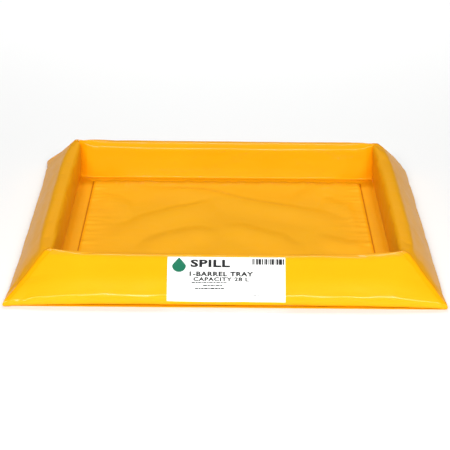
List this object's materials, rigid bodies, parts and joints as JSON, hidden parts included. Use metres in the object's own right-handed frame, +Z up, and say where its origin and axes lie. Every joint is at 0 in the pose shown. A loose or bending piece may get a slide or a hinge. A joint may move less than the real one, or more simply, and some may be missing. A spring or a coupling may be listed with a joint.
{
  "type": "spill containment pallet",
  "caption": "Soft-sided square spill containment pallet: a coated-fabric floor inside sloped, foam-filled walls with mitred corners, open on top, with a plain front label.",
  "frame": {"origin": "centre of the underside, on the surface that the tray stands on", "axes": "+Z up, -Y the labelled front, +X to the right as the label is read"},
  "size_m": [0.762, 0.762, 0.077],
  "materials": {
    "coated_fabric": "gloss",
    "weld_strip": "gloss",
    "foam": "matte",
    "label_film": "satin"
  },
  "bodies": {
    "root": {"floor_membrane": "coated_fabric", "front_foam_wedge": "foam", "right_foam_wedge": "foam", "back_foam_wedge": "foam", "left_foam_wedge": "foam", "front_wall_cover": "coated_fabric", "right_wall_cover": "coated_fabric", "back_wall_cover": "coated_fabric", "left_wall_cover": "coated_fabric", "front_right_outer_seam": "weld_strip", "back_right_outer_seam": "weld_strip", "back_left_outer_seam": "weld_strip", "front_left_outer_seam": "weld_strip", "front_right_inner_seam": "weld_strip", "back_right_inner_seam": "weld_strip", "back_left_inner_seam": "weld_strip", "front_left_inner_seam": "weld_strip", "label": "label_film"}
  },
  "joints": []
}
